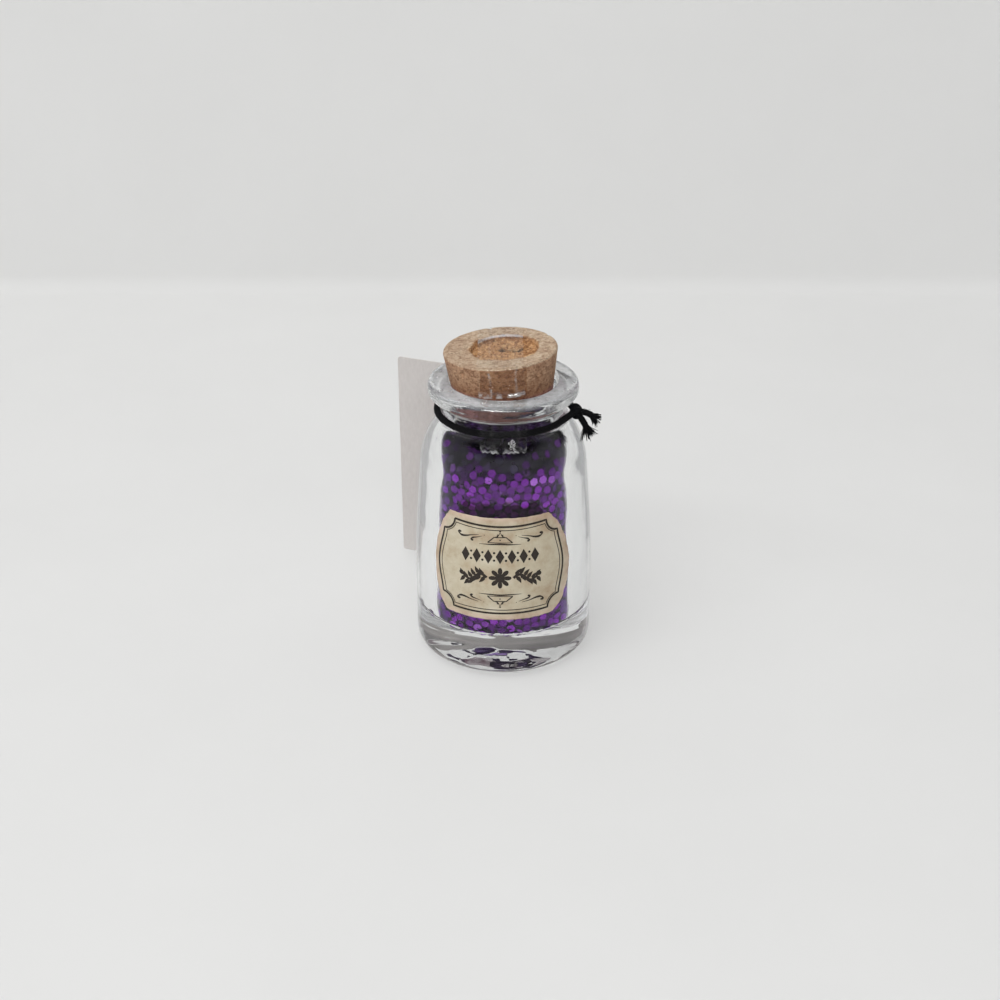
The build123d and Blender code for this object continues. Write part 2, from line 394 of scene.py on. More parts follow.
class Nodes:
    """A material's or a world's nodes, built up by name."""

    def __init__(self, owner, output="OutputMaterial"):
        owner.use_nodes = True
        self.owner = owner
        self.tree = owner.node_tree
        self.tree.nodes.clear()
        self.end = self.add(output)

    def add(self, kind, operation=None, **inputs):
        node = self.tree.nodes.new("ShaderNode" + kind)
        if operation:
            node.operation = operation
        for key, value in inputs.items():
            self.set(node, key.replace("_", " "), value)
        return node

    def new(self, kind, **inputs):
        """The first output of a new node."""
        return self.add(kind, **inputs).outputs[0]

    def set(self, node, socket, value):
        if isinstance(value, bpy.types.NodeSocket):
            self.tree.links.new(value, node.inputs[socket])
        else:
            node.inputs[socket].default_value = value

    def place(self):
        """The surface point in millimetres."""
        scale = self.add("VectorMath", "SCALE", Scale=1 / MM)
        self.set(scale, 0, self.add("TexCoord").outputs["Object"])
        return scale.outputs[0]

    def axis(self, vector, number):
        return self.add("SeparateXYZ", Vector=vector).outputs[number]

    def stretched(self, vector, scale):
        return self.new("Mapping", Vector=vector, Scale=scale)

    def noise(self, vector, scale, detail=3.0, rough=0.55, distort=0.0):
        node = self.add("TexNoise", Vector=vector, Scale=scale, Detail=detail)
        self.set(node, "Roughness", rough)
        self.set(node, "Distortion", distort)
        return node.outputs["Fac"]

    def ramp(self, fac, stops):
        """Colours, or greys, at places from 0 to 1."""
        node = self.add("ValToRGB", Fac=fac)
        ramp = node.color_ramp
        while len(ramp.elements) < len(stops):
            ramp.elements.new(0.5)
        for element, (position, color) in zip(ramp.elements, stops):
            element.position = position
            if isinstance(color, (int, float)):
                color = (color, color, color)
            element.color = (*color, 1)
        return node.outputs["Color"]

    def mix(self, fac, a, b, mode="MIX"):
        node = self.add("Mix")
        node.data_type = "RGBA"
        node.blend_type = mode
        self.set(node, 0, fac)
        for socket, value in ((6, a), (7, b)):
            if isinstance(value, tuple):
                value = (*value, 1)
            self.set(node, socket, value)
        return node.outputs[2]

    def times(self, a, b, fac=1.0):
        return self.mix(fac, a, b, "MULTIPLY")

    def math(self, operation, a, b=0.0):
        node = self.add("Math", operation)
        self.set(node, 0, a)
        self.set(node, 1, b)
        return node.outputs[0]

    def mul(self, a, b):
        return self.math("MULTIPLY", a, b)

    def bump(self, height, strength, distance):
        return self.new("Bump", Strength=strength, Distance=distance * MM, Height=height)

    def attribute(self, name):
        node = self.add("Attribute")
        node.attribute_name = name
        return node.outputs["Fac"]

    def principled(self, **inputs):
        return self.new("BsdfPrincipled", **inputs)

    def blend(self, fac, a, b):
        """One shader over to another."""
        node = self.add("MixShader")
        for socket, value in enumerate((fac, a, b)):
            self.set(node, socket, value)
        return node.outputs[0]

    def finish(self, shader):
        self.tree.links.new(shader, self.end.inputs["Surface"])
        return self.owner


def material_nodes(name):
    return Nodes(bpy.data.materials.new(name))


def glass_material():
    """Clear glass. A path that has bounced about inside it ends in a plain pale surface, painted
    light that stands in for the bright room seen through the glass.
    """
    tint = (0.962, 0.97, 0.97, 1)
    m = material_nodes("clear_glass")
    place = m.place()
    ripple = m.noise(m.stretched(place, (1, 1, 0.5)), 0.16, 1.0)
    rings = m.noise(m.stretched(place, (0.1, 0.1, 1.5)), 1.0, 3.0, 0.6)
    neck_rings = m.mul(m.mul(rings, m.attribute("neck")), 0.7)
    normal = m.bump(m.math("ADD", ripple, neck_rings), 0.25, 0.5)
    polish = {"Roughness": 0.0, "IOR": glass_ior, "Normal": normal}
    clear = m.principled(Base_Color=tint, Transmission_Weight=1.0, **polish)
    through = m.new("BsdfRefraction", Color=tint, **polish)
    # Where it is not seen at a slant, nearly half of it mirrors nothing
    head_on = m.math("LESS_THAN", m.new("Fresnel", IOR=glass_ior), 0.3)
    glass = m.blend(m.mul(head_on, 0.45), clear, through)

    # Painted shade and reflection: the rim's top is partly a mottled grey rather than clear glass.
    lip_painted_grey = m.new("BsdfDiffuse", Color=(0.55, 0.56, 0.57, 1))
    mottle = m.ramp(m.noise(place, 0.5, 3.0, 0.6), [(0.3, 0.32), (0.7, 0.56)])
    lip_painted_shade = m.blend(m.mul(m.attribute("lip"), mottle), glass, lip_painted_grey)

    path = m.add("LightPath").outputs
    mirrored = m.math("GREATER_THAN", path["Glossy Depth"], mirror_limit)
    late = m.math("MAXIMUM", mirrored, m.math("GREATER_THAN", path["Ray Depth"], turn_limit))
    # Painted light where a path ends: pale, and in the foot streaked darker and purple-brown,
    # painted reflection of the glitter and painted shade.
    bands = m.noise(m.stretched(place, (1, 1, 2)), 0.22, 3.0, 0.6, 0.8)
    foot = m.ramp(
        bands,
        [(0.38, (0.2, 0.11, 0.15)), (0.5, (0.5, 0.43, 0.47)), (0.62, (0.9, 0.9, 0.9))],
    )
    low = m.math("LESS_THAN", m.axis(place, 2), floor_height + 0.3)
    painted_through_light = m.mix(low, (0.9, 0.91, 0.91), foot)
    spent = m.blend(0.55, m.new("BsdfDiffuse", Color=painted_through_light), m.new("BsdfTranslucent", Color=painted_through_light))
    shadow = m.new("BsdfTransparent", Color=(0.92, 0.93, 0.93, 1))
    return m.finish(m.blend(path["Is Shadow Ray"], m.blend(late, lip_painted_shade, spent), shadow))


def foil_material():
    """Metallised film: bright purple, or slate where a flake faces the dark, a painted shade."""
    m = material_nodes("purple_glitter")
    draw = m.add("NewGeometry").outputs["Random Per Island"]
    painted_dusk = m.attribute("painted_dusk")
    bright = m.ramp(
        draw,
        [
            (0.0, (0.12, 0.012, 0.23)),
            (0.3, (0.20, 0.018, 0.37)),
            (0.7, (0.27, 0.024, 0.48)),
            (0.93, (0.34, 0.04, 0.60)),
            (1.0, (0.55, 0.2, 0.85)),
        ],
    )
    # Painted shade: the colours of flakes that face the dark, a few left bright.
    slate = m.ramp(
        draw,
        [
            (0.0, (0.013, 0.011, 0.026)),
            (0.6, (0.085, 0.07, 0.125)),
            (0.9, (0.18, 0.14, 0.29)),
            (1.0, (0.5, 0.35, 0.75)),
        ],
    )
    color = m.mix(painted_dusk, bright, slate)
    # Painted shade: flakes deeper behind the glass are darker, and each flake's edge is darker,
    # shade between the flakes.
    painted_depth_shade = m.ramp(m.attribute("depth"), [(0.0, 1.0), (0.15, 0.5), (0.4, 0.22), (1.0, 0.09)])
    outline = m.ramp(m.attribute("rim"), [(0.82, 1.0), (0.98, 0.3)])
    color = m.times(m.times(color, painted_depth_shade), outline)
    # The shine of flakes that face the dark is greyed as well, part of the same painted shade.
    tint = m.mix(painted_dusk, (0.45, 0.08, 0.7), (0.4, 0.33, 0.46))
    return m.finish(
        m.principled(Base_Color=color, Metallic=1.0, Roughness=0.2, Specular_Tint=tint)
    )


def mottled_material(name, scale, stops, **shader):
    """A plain surface, mottled in tone."""
    m = material_nodes(name)
    return m.finish(m.principled(Base_Color=m.ramp(m.noise(m.place(), scale), stops), **shader))


def cork_material():
    m = material_nodes("cork")
    place = m.place()
    grains = m.add("TexVoronoi", Vector=m.stretched(place, (1, 1, 1.3)), Scale=1.5)
    grain_tone = m.add("SeparateColor", Color=grains.outputs["Color"]).outputs[0]
    fine = m.noise(place, 3.0, 5.0, 0.7)
    broad = m.noise(place, 0.3, 3.0)
    tone = m.math("ADD", m.mul(grain_tone, 0.22), m.mul(fine, 0.78))

    def shades(dark, middle, pale):
        return m.ramp(tone, [(0.3, dark), (0.5, middle), (0.72, pale)])

    side = shades((0.175, 0.076, 0.041), (0.47, 0.28, 0.165), (0.675, 0.456, 0.29))
    top = shades((0.26, 0.155, 0.09), (0.52, 0.385, 0.265), (0.68, 0.56, 0.42))
    heart = shades((0.13, 0.045, 0.018), (0.47, 0.25, 0.105), (0.80, 0.54, 0.29))
    # The side is darker under the tape
    taped = m.math("LESS_THAN", m.math("ABSOLUTE", m.axis(place, 0)), tape_width / 2)
    side = m.times(side, (0.75, 0.63, 0.54), taped)
    color = m.mix(m.attribute("cork_top"), side, top)
    color = m.mix(m.attribute("cork_heart"), color, heart)
    color = m.times(color, m.ramp(broad, [(0.35, (0.82, 0.74, 0.70)), (0.62, 1.0)]), 0.8)
    specks = m.noise(m.stretched(place, (1, 1, 2.4)), 1.3, 2.0, 0.5, 0.4)
    color = m.times(color, m.ramp(specks, [(0.30, 0.45), (0.37, 1.0)]), 0.8)
    # Darker and purpler down the plug inside the neck: painted shade and painted purple reflection
    # of the glitter.
    long = cork_rise + plug_depth
    height = m.axis(m.stretched(place, (1, 1, 1 / long)), 2)
    above_foot = m.math("SUBTRACT", height, (bottle_height - plug_depth) / long)
    plug_painted_shade = [
        (0.0, (0.54, 0.38, 0.62)),
        (0.3, (0.7, 0.51, 0.7)),
        (0.38, (0.72, 0.58, 0.5)),
        (0.66, (0.93, 0.9, 0.87)),
        (1.0, 1.0),
    ]
    color = m.times(color, m.ramp(above_foot, plug_painted_shade))
    # The crack is drawn near black: painted shade in it.
    color = m.mix(m.attribute("cork_crack_painted_shade"), color, (0.03, 0.012, 0.006))
    rough = m.bump(tone, 0.7, 0.3)
    return m.finish(m.principled(Base_Color=color, Roughness=0.82, Normal=rough))


def paper_material():
    """Aged paper, browner towards its edge."""
    m = material_nodes("label_paper")
    place = m.place()
    broad = m.noise(place, 0.22, 4.0, 0.6)
    fine = m.noise(place, 2.4, 4.0, 0.7)
    field = m.ramp(
        broad,
        [(0.34, (0.47, 0.36, 0.24)), (0.52, (0.58, 0.51, 0.37)), (0.7, (0.655, 0.595, 0.465))],
    )
    brown = m.ramp(broad, [(0.35, (0.46, 0.33, 0.22)), (0.6, (0.66, 0.53, 0.41))])
    ragged = m.mul(m.math("SUBTRACT", fine, 0.5), 0.9)
    border = m.math("ADD", m.attribute("edge"), ragged)
    color = m.mix(m.ramp(border, [(0.35, 0.0), (0.8, 1.0)]), field, brown)
    color = m.times(color, m.ramp(fine, [(0.30, (0.72, 0.62, 0.5)), (0.42, 1.0)]), 0.6)
    rough = m.bump(fine, 0.25, 0.05)
    return m.finish(m.principled(Base_Color=color, Roughness=0.62, Normal=rough))


def card_material():
    m = material_nodes("tag_card")
    fibres = m.noise(m.stretched(m.place(), (1, 1, 0.35)), 1.8, 4.0, 0.65)
    # The card is drawn light grey rather than white: painted shade, as it hangs in the bottle's
    # shade.
    tone = m.ramp(fibres, [(0.3, (0.63, 0.595, 0.57)), (0.7, (0.69, 0.655, 0.63))])
    rough = m.bump(fibres, 0.15, 0.05)
    return m.finish(m.principled(Base_Color=tone, Roughness=0.6, Normal=rough))


def tape_material():
    """Clear film that shows by its shine, at its folds and where it is seen at a slant. Its
    creases are drawn white, a painted highlight.
    """
    m = material_nodes("clear_tape")
    ripple = m.noise(m.stretched(m.place(), (1.2, 0.5, 0.3)), 0.9, 4.0, 0.6, 0.3)
    normal = m.bump(ripple, 0.4, 0.2)
    see = m.new("BsdfTransparent", Color=(0.985, 0.985, 0.98, 1))
    shine = m.new("BsdfGlossy", Color=(1, 1, 1, 1), Roughness=0.06, Normal=normal)
    facing = m.add("LayerWeight", Blend=0.5, Normal=normal).outputs["Facing"]
    edge_on = m.mul(m.math("POWER", facing, 4.0), 0.35)
    fold = m.mul(m.attribute("shine"), 0.55)
    gloss = m.math("ADD", m.math("ADD", edge_on, fold), 0.01)
    outside = m.math("SUBTRACT", 1.0, m.add("NewGeometry").outputs["Backfacing"])
    film = m.blend(m.mul(gloss, outside), see, shine)
    white = m.new("BsdfDiffuse", Color=(0.85, 0.84, 0.82, 1))
    # Folds drawn white: painted highlight.
    return m.finish(m.blend(m.mul(m.attribute("crease_painted_highlight"), 0.42), film, white))


# Scene


def make_camera():
    camera = add_object("camera", bpy.data.cameras.new("camera"))
    height = camera_target_height + camera_distance * sin(camera_pitch)
    camera.location = Vector((0, -camera_distance * cos(camera_pitch), height)) * MM
    camera.rotation_euler = (pi / 2 - camera_pitch, 0, 0)
    camera.data.lens = camera_lens
    camera.data.sensor_width = camera_sensor
    camera.data.shift_x = camera_shift
    camera.data.clip_start = 0.01
    camera.data.clip_end = 20
    bpy.context.scene.camera = camera


def make_lamp(name, size, place, aim, power, in_mirrors):
    """A flat lamp, its size and places in metres."""
    data = bpy.data.lights.new(name, "AREA")
    data.shape = "RECTANGLE"
    data.size, data.size_y = size
    data.energy = power
    lamp = add_object(name, data)
    lamp.location = place
    lamp.rotation_euler = (Vector(aim) - Vector(place)).to_track_quat("-Z", "Y").to_euler()
    lamp.visible_glossy = in_mirrors
    lamp.visible_transmission = False


def make_stage():
    """The floor and the wall behind it, one curved sheet, and a touch under the glass."""
    half_width = 2.5
    front = -2.5
    bend = 0.006
    back = 0.225
    wall_top = 1.5
    low = -0.00003
    profile = [(front, low), (back - bend, low)]
    for i in range(1, 9):
        a = pi / 2 * i / 8
        profile.append((back - bend + bend * sin(a), low + bend * (1 - cos(a))))
    profile.append((back, wall_top))
    mesh = bpy.data.meshes.new("floor")
    verts = [(x, y, z) for x in (-half_width, half_width) for y, z in profile]
    n = len(profile)
    mesh.from_pydata(verts, [], [(i + 1, i, n + i, n + i + 1) for i in range(n - 1)])
    for polygon in mesh.polygons:
        polygon.use_smooth = True
    floor = add_object("floor", mesh)

    # Half lit and half glowing by itself, so that the bottle's shadow stays faint
    m = material_nodes("floor_paper")
    grain = m.noise(m.place(), 0.02, 3.0)
    tone = m.ramp(grain, [(0.3, (0.745, 0.745, 0.735)), (0.7, (0.76, 0.76, 0.75))])
    # Darker far from the bottle, down to six tenths: a painted falloff of light.
    painted_falloff = m.add("VectorMath", "LENGTH")
    m.set(painted_falloff, 0, m.stretched(m.place(), (1 / 420, 1 / 620, 1 / 700)))
    tone = m.times(tone, m.ramp(painted_falloff.outputs["Value"], [(0.7, 1.0), (1.0, 0.6)]))
    paper = m.principled(Base_Color=tone, Roughness=0.8)
    glow = m.new("Emission", Color=tone, Strength=1.0)
    path = m.add("LightPath").outputs
    mirrored = m.math("MAXIMUM", path["Is Glossy Ray"], path["Is Transmission Ray"])
    seen = m.mul(m.math("MAXIMUM", path["Is Camera Ray"], mirrored), 0.5)
    mesh.materials.append(m.finish(m.blend(seen, paper, glow)))


def make_world():
    """A plain room: pale overhead, darker lower down, with a pale band that mirrors show."""
    world = bpy.data.worlds.new("room")
    bpy.context.scene.world = world
    m = Nodes(world, "OutputWorld")
    up = m.axis(m.add("TexCoord").outputs["Generated"], 2)

    def sky(greys):
        return m.ramp(up, [(height, (grey, grey, grey * 1.02)) for height, grey in greys])

    room = sky([(0.0, 0.5), (0.2, 0.3), (0.36, 0.05), (0.6, 0.05), (0.8, 0.6), (1.0, 0.9)])
    veil = sky(
        [(0.0, 0.5), (0.2, 0.3), (0.3, 0.75), (0.46, 0.75), (0.53, 0.05), (0.8, 0.6), (1.0, 0.9)]
    )
    path = m.add("LightPath").outputs
    mirrored = m.math("SUBTRACT", path["Is Glossy Ray"], path["Is Transmission Ray"])
    m.finish(m.new("Background", Color=m.mix(mirrored, room, veil), Strength=1.0))


# Glass bottle


glass_skin = finer(
    rounded([(bearing_radius, 0), *outside_points, (0, bottle_height)], outside_fillets), 0.6
)


def glass_outline():
    dome = [Vector((bearing_radius * i / 12, base_rise * (1 - (i / 12) ** 2))) for i in range(12)]
    points = [(bearing_radius, 0), *outside_points, *inside_points, (0, floor_height)]
    return finer(dome + rounded(points, outside_fillets + inside_fillets), glass_step)


def floor_wave(p):
    """How far the foot's lower and upper side stand off their level at a point."""
    inside = share_of((bearing_radius - 0.8 - hypot(p.x, p.y)) / 2.0)
    spot = Vector((p.x * wave_scale, p.y * wave_scale, p.z))
    return inside * wave_height * noise.noise(spot)


def make_glass():
    shape = Shape()
    shape.lathe(glass_outline(), glass_sides)
    for v in shape.verts:
        if v.z < base_rise + 0.01 or abs(v.z - floor_height) < 0.01:
            v.z += floor_wave(v)
    # The lip weight says where the rim's top gets its painted grey shade.
    weights = {
        "lip": [share_of((v.z - bottle_height) / lip_depth + 1) for v in shape.verts],
        "neck": [share_of(1.6 - abs(v.z - neck_rings_height) / 2.2) for v in shape.verts],
    }
    shape.make("glass_shell", glass_material(), "bottle", "clear_glass", ["glass_bottle"], weights)


# Glitter


def cavity_outline():
    points = [(0, floor_height), *reversed(inside_points)]
    return rounded(points, list(reversed(inside_fillets[1:])))


def scatter(rng, spacing, low, high, radius):
    """Places round a wall as (azimuth, height), no two nearer than spacing."""
    cells = {}
    places = []
    tries = int(30 * tau * radius * (high - low) / spacing ** 2)
    for _ in range(tries):
        a = rng.uniform(0, tau)
        z = rng.uniform(low, high)
        u = a * radius / spacing
        v = z / spacing
        cu, cv = int(u), int(v)
        near = (
            other
            for du in (-1, 0, 1)
            for dv in (-1, 0, 1)
            for other in cells.get((cu + du, cv + dv), ())
        )
        if any((u - p) ** 2 + (v - q) ** 2 < 1 for p, q in near):
            continue
        cells.setdefault((cu, cv), []).append((u, v))
        places.append((a, z))
    return places


def tilted(rng, axis, spread):
    """A unit vector near an axis, and the angle between them."""
    angle = min(abs(rng.gauss(0, spread)), 1.3)
    side = across(rng, axis)
    return (axis * cos(angle) + side * sin(angle)).normalized(), angle


def lie_of(azimuth, z, wall_normal):
    """Which way the flakes against the glass face, and how much they lean back, from 0 to 1."""
    around = polar(1, azimuth, 0)
    line = settled_height + 2.4 * noise.noise(around * 2.6)
    share = share_of((z - line) / 1.5)
    return wall_normal.lerp(around + Vector((0, 0, flake_lean)), share).normalized(), share


class Flakes:
    """Hexagonal flakes, each with its depth behind the glass and how much painted shade it gets
    for facing the dark.
    """

    def __init__(self, rng):
        self.rng = rng
        self.shape = Shape()
        self.depths = []
        self.painted_dusks = []

    def add(self, centre, normal):
        u = normal.orthogonal().normalized()
        v = normal.cross(u)
        turn = self.rng.uniform(0, tau)
        turns = [turn + k * tau / 6 for k in range(6)]
        rings = []
        for side in (-0.5, 0.5):
            middle = centre + normal * flake_thickness * side
            corners = [middle + (u * cos(a) + v * sin(a)) * flake_reach for a in turns]
            rings.append(self.shape.ring(corners))
            self.shape.fan(rings[-1], middle, flip=side < 0)
        self.shape.join(*rings)

    def mark(self, depth, painted_dusk):
        """Says what the flake added last is like."""
        count = len(self.shape.verts) - len(self.depths)
        self.depths += [depth] * count
        self.painted_dusks += [painted_dusk] * count

    def against_glass(self, wall):
        """The layers of flakes that follow the cavity's wall."""
        rng = self.rng
        for spacing, depth, spread in flake_layers:
            low, high = floor_height + 0.35, fill_height - 0.2
            for a, z in scatter(rng, spacing, low, high, wall_reach):
                radial = polar(1, a, 0)
                slope = radius_at(wall, z + 0.5) - radius_at(wall, z - 0.5)
                outward = (radial - Vector((0, 0, slope))).normalized()
                lie, share = lie_of(a, z, outward)
                normal, _ = tilted(rng, lie, spread)
                hold = flake_reach * sin(normal.angle(outward))
                hold += depth * (0.6 + 0.8 * rng.random())
                r = radius_at(wall, z) - air_film - hold / cos(atan(slope))
                self.add(radial * r + Vector((0, 0, z)), normal)
                depth_here = depth + 0.12 * rng.random()
                # Most flakes that lean back get painted shade for facing the dark.
                self.mark(depth_here, share if rng.random() < painted_dusk_share else 0.0)

    def in_disc(self, count, low, limit):
        """Flakes lying flat at a level, the cavity's floor or the heap's top."""
        rng = self.rng
        for _ in range(count):
            r = limit * sqrt(rng.random())
            a = rng.uniform(0, tau)
            normal, angle = tilted(rng, Vector((0, 0, 1)), 0.25)
            z = low + flake_reach * sin(angle) + rng.random() * 0.6
            self.add(polar(r, a, z), normal)
            # Flakes on the heap's top get painted shade.
            self.mark(0.3 * rng.random(), 0.0 if z < throat_bottom else top_painted_dusk)

    def in_corner(self, count):
        """Flakes in the round corner between the cavity's floor and its wall."""
        rng = self.rng
        corner = inside_fillets[-1]
        for _ in range(count):
            a, rise = rng.uniform(0, tau), rng.uniform(0.1, 1.4)
            radial = polar(1, a, 0)
            down = radial * cos(rise) - Vector((0, 0, sin(rise)))
            spot = radial * (cavity_bottom_radius - corner) + Vector((0, 0, floor_height + corner))
            self.add(spot + down * corner * 0.65, tilted(rng, down, 0.15)[0])
            self.mark(0.15 * rng.random(), 0.0)

    def in_floor(self, count):
        """Flakes sunk in patches into the top of the glass foot, as seen through it."""
        rng = self.rng
        for _ in range(count):
            r = (cavity_bottom_radius - 2.6) * sqrt(rng.random())
            spot = polar(r, rng.uniform(0, tau), floor_height)
            if noise.noise(Vector((spot.x * 0.16, spot.y * 0.16, 77))) < -0.05:
                continue
            spot.z += floor_wave(spot) - 0.06 - 0.05 * rng.random()
            self.add(spot, tilted(rng, Vector((0, 0, 1)), 0.02)[0])
            # Sunk flakes get painted shade.
            self.mark(0.0, sunk_painted_dusk)


def make_glitter():
    wall = cavity_outline()
    flakes = Flakes(random.Random(7))
    flakes.against_glass(wall)
    flakes.in_disc(floor_flakes, floor_height + 0.2, cavity_bottom_radius - 1.5)
    flakes.in_disc(top_flakes, fill_height - 0.4, 10.8)
    flakes.in_corner(corner_flakes)
    flakes.in_floor(sunk_flakes)
    # Each flake's edge vertices, for the painted shade at its edge.
    painted_edge_shade = ([1.0] * 6 + [0.0]) * (len(flakes.shape.verts) // 7)
    flakes.shape.make(
        "glitter",
        foil_material(),
        "bottle",
        "purple_glitter",
        ["glitter_fill", "glitter_flakes"],
        {"depth": flakes.depths, "painted_dusk": flakes.painted_dusks, "rim": painted_edge_shade},
        smooth=False,
    )

    # A dark core, so that nothing shows between the flakes: painted shade standing in for the
    # shaded flakes deep in the fill.
    core_top = fill_height - 0.6
    core_points = [
        (0, floor_height + 1.0),
        (cavity_bottom_radius - core_gap, floor_height + 1.0),
        (cavity_top_radius - core_gap, throat_bottom - 2),
        (radius_at(wall, fill_height - 1) - core_gap, core_top),
        (0, core_top),
    ]
    core = Shape()
    core.lathe(finer(rounded(core_points, [1.5, 4.0, 0.3]), 2.0), 64)
    stops = [(0.3, (0.006, 0.002, 0.014)), (0.7, (0.03, 0.006, 0.06))]
    shade = mottled_material("glitter_core_painted_shade", 1.2, stops, Roughness=0.5)
    core.make("glitter_core", shade, "bottle", "purple_glitter")


# Cork


def on_cork(p, origin=cork_origin):
    """A place given along the cork's leaning axis, or with a zero origin a direction."""
    out = Vector((cos(cork_lean), 0, sin(cork_lean)))
    axis = Vector((-sin(cork_lean), 0, cos(cork_lean)))
    return origin + out * p.x + Vector((0, p.y, 0)) + axis * p.z


def cork_outline():
    lip = (recess_radius + 0.3, cork_rise)
    recess_floor = cork_rise - recess_depth
    low_radius = cork_radius - plug_depth * cork_slope
    outside = [(0, -plug_depth), (low_radius, -plug_depth), (cork_top_radius, cork_rise), lip]
    well = [
        lip,
        (recess_radius, cork_rise),
        (recess_radius - 0.5, recess_floor),
        (0, recess_floor),
    ]
    outside = finer(rounded(outside, [0.5, 0.5], 15), 0.32)
    return outside + finer(rounded(well, [0.2, 0.5], 30), 0.26)[1:]


def crack_shares(place, width):
    """How near a place on the recess's floor is to each stretch of the crack, from 0 to 1."""
    shares = []
    for start, end in pairs(crack_line):
        start = Vector(start)
        span = Vector(end) - start
        t = share_of((place - start).dot(span) / span.length_squared)
        shares.append(max(0.0, 1 - (place - start - span * t).length / width))
    return shares


def cork_point(p, a, inner):
    """A point of the cork, and how much of top, heart and painted crack shade there is at it."""
    c, s = cos(a), sin(a)
    outward = Vector((c, s, 0))
    place = Vector((p.x * c + recess_shift * inner, p.x * s, p.y))
    rough = noise.fractal(place * 0.9, 0.8, 2.0, 4)
    pit = max(0.0, noise.noise(place * 0.75 + Vector((31, 7, 3))) - 0.32) * 1.3
    ragged = noise.fractal(Vector((c * 2.2, s * 2.2, 5)), 0.9, 2.0, 4)
    on_top = p.y > cork_rise - cork_edge
    crack_painted_shade = 0.0
    if inner > 0 and p.y < cork_rise - 0.02 and p.x < recess_radius + 0.3:
        # In the recess: an uneven floor, a ragged wall and the crack
        depth_share = min(1.0, (cork_rise - p.y) / recess_depth)
        lumps = noise.fractal(place * 0.55 + Vector((3, 9, 1)), 0.7, 2.0, 5)
        place.z += depth_share * (0.6 * lumps + 0.2 * rough)
        if p.x > recess_radius - 0.7:
            place += outward * ragged * 0.35
        shares = crack_shares(place.xy, 0.6 + 0.2 * ragged)
        # Near the crack the cork gets painted shade.
        crack_painted_shade = max(shares)
        place.z = min(place.z - crack_depth * sum(shares), cork_rise - 0.05)
    elif on_top:
        place.z -= 0.06 * abs(rough) + pit * 0.5
        if p.x < recess_radius + 0.6:
            place += outward * ragged * 0.3
    else:
        place -= outward * (0.07 * abs(rough) + pit)
    heart_edge = recess_radius + 0.35 + 0.25 * (ragged + rough)
    heart = share_of((heart_edge - p.x) / 0.6) if p.y > 0 else 0.0
    return on_cork(place), 1.0 if on_top else 0.0, heart, min(1.0, 2.2 * crack_painted_shade)


def make_cork():
    shape = Shape()
    rings, marks = [], []
    flat_edge = cork_top_radius - 0.6
    for p in cork_outline()[1:-1]:
        inner = 0.0
        if p.y > cork_rise - recess_depth - 0.1 and p.x < cork_top_radius - 0.5:
            inner = share_of((flat_edge - p.x) / (flat_edge - recess_radius))
        cells = [cork_point(p, tau * i / cork_sides, inner) for i in range(cork_sides)]
        rings.append(shape.ring([cell[0] for cell in cells]))
        marks += [cell[1:] for cell in cells]
    bottom = on_cork(Vector((0, 0, -plug_depth)))
    recess_middle = on_cork(Vector((recess_shift, 0, cork_rise - recess_depth)))
    shape.stack(rings, bottom, recess_middle)
    marks += [(0.0, 0.0, 0.0), (1.0, 1.0, 0.0)]
    names = ("cork_top", "cork_heart", "cork_crack_painted_shade")
    weights = {name: [mark[k] for mark in marks] for k, name in enumerate(names)}
    shape.make("cork_body", cork_material(), "cork", "cork", ["cork_stopper"], weights)


# Label


def on_glass(s, z, lift):
    """A point over the outside of the glass, so far round it from the front."""
    r = radius_at(glass_skin, z) + lift
    a = s / body_radius
    return Vector((r * sin(a), -r * cos(a), z))


def paper_side(z, column):
    for low, high in pairs(paper_sides):
        if z <= high[0] or high is paper_sides[-1]:
            t = (z - low[0]) / (high[0] - low[0])
            return low[column] + (high[column] - low[column]) * t


def make_label():
    base, top = paper_sides[0][0], paper_sides[-1][0]
    outer, inner, edges = [], [], []
    for j in range(paper_rows + 1):
        v = j / paper_rows
        row_z = base + (top - base) * v
        left, right = paper_side(row_z, 1), paper_side(row_z, 2)
        places = []
        for i in range(paper_columns + 1):
            u = i / paper_columns
            s = left + (right - left) * u
            bow = label_bow * (1 - (2 * u - 1) ** 2)
            z = row_z - bow * (1 - v) - bow * 0.4 * v
            near = min(u, 1 - u, v * 0.78, (1 - v) * 0.78)
            ragged = noise.fractal(Vector((s * 0.7, z * 0.7, 2)), 0.8, 2.0, 4) * 0.13
            fade = max(0.0, 1 - near * 30)
            s += ragged * fade * (1 if u > 0.5 else -1)
            z += ragged * fade * (1 if v > 0.5 else -1)
            places.append((s, z))
            edges.append(max(0.0, 1 - near / 0.085))
        outer.append([on_glass(s, z, paper_top) for s, z in places])
        inner.append([on_glass(s, z, film_gap) for s, z in places])
    shape = Shape()
    shape.shell(outer, inner)
    weights = {"edge": edges * 2}
    shape.make("label_sheet", paper_material(), "bottle", "label_paper", ["front_label"], weights)


